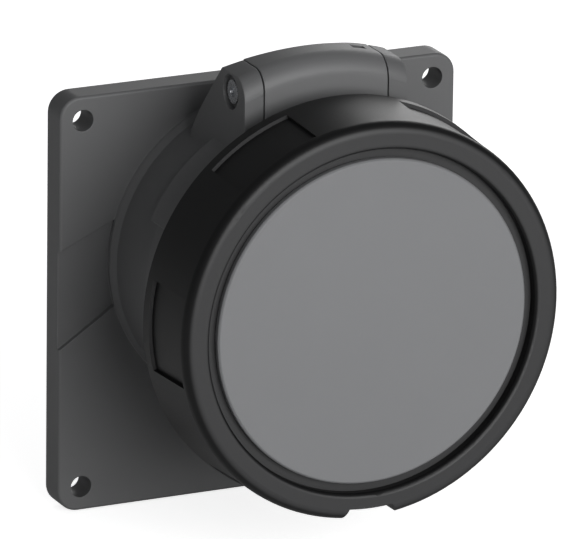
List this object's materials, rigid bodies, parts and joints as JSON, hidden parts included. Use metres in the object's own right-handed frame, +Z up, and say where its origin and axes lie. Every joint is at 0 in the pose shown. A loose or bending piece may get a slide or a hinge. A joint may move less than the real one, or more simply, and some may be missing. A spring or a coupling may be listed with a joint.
{
  "type": "industrial panel socket",
  "caption": "Square-flanged round power socket with a sprung hinged lid and a turning bayonet locking ring.",
  "frame": {"origin": "middle of the four fixing_holes on the back face of the flange", "axes": "+X right seen from the front, +Y into the panel, +Z up; the socket faces -Y"},
  "size_m": [0.13, 0.1217, 0.149],
  "materials": {
    "housing": "satin",
    "lid": "satin",
    "disc": "satin",
    "ring": "satin",
    "insert": "matte",
    "cover": "matte",
    "rubber": "matte",
    "brass": "satin",
    "steel": "satin"
  },
  "bodies": {
    "housing": {"flange_housing": "housing", "panel_seal": "rubber", "contact_insert": "insert", "contact_carrier": "insert", "rear_cover": "cover", "contact_line_1": "brass", "contact_line_2": "brass", "contact_line_3": "brass", "contact_neutral": "brass", "contact_earth": "brass", "contact_pilot": "brass", "terminal_screws": "steel", "carrier_screws": "steel", "cover_screws": "steel", "hinge_pin": "steel", "pin_clip": "steel", "hinge_spring": "steel"},
    "lid": {"lid_body": "lid", "lid_gasket": "rubber", "disc_cap": "disc", "cap_seal": "rubber", "cap_screws": "steel"},
    "ring": {"locking_ring": "ring"}
  },
  "joints": [
    {"name": "lid_hinge", "type": "hinge", "parent": "housing", "child": "lid", "pos_m": [0, -0.0461, 0.0731], "axis": [-1, 0, 0], "range_deg": [0, 110], "stiffness_Nm_per_rad": 0.25, "springref_deg": -34.38},
    {"name": "ring_turn", "type": "hinge", "parent": "lid", "child": "ring", "pos_m": [0, -0.0856, 0.0119], "axis": [0, -1, 0], "range_deg": [-30, 0]}
  ]
}
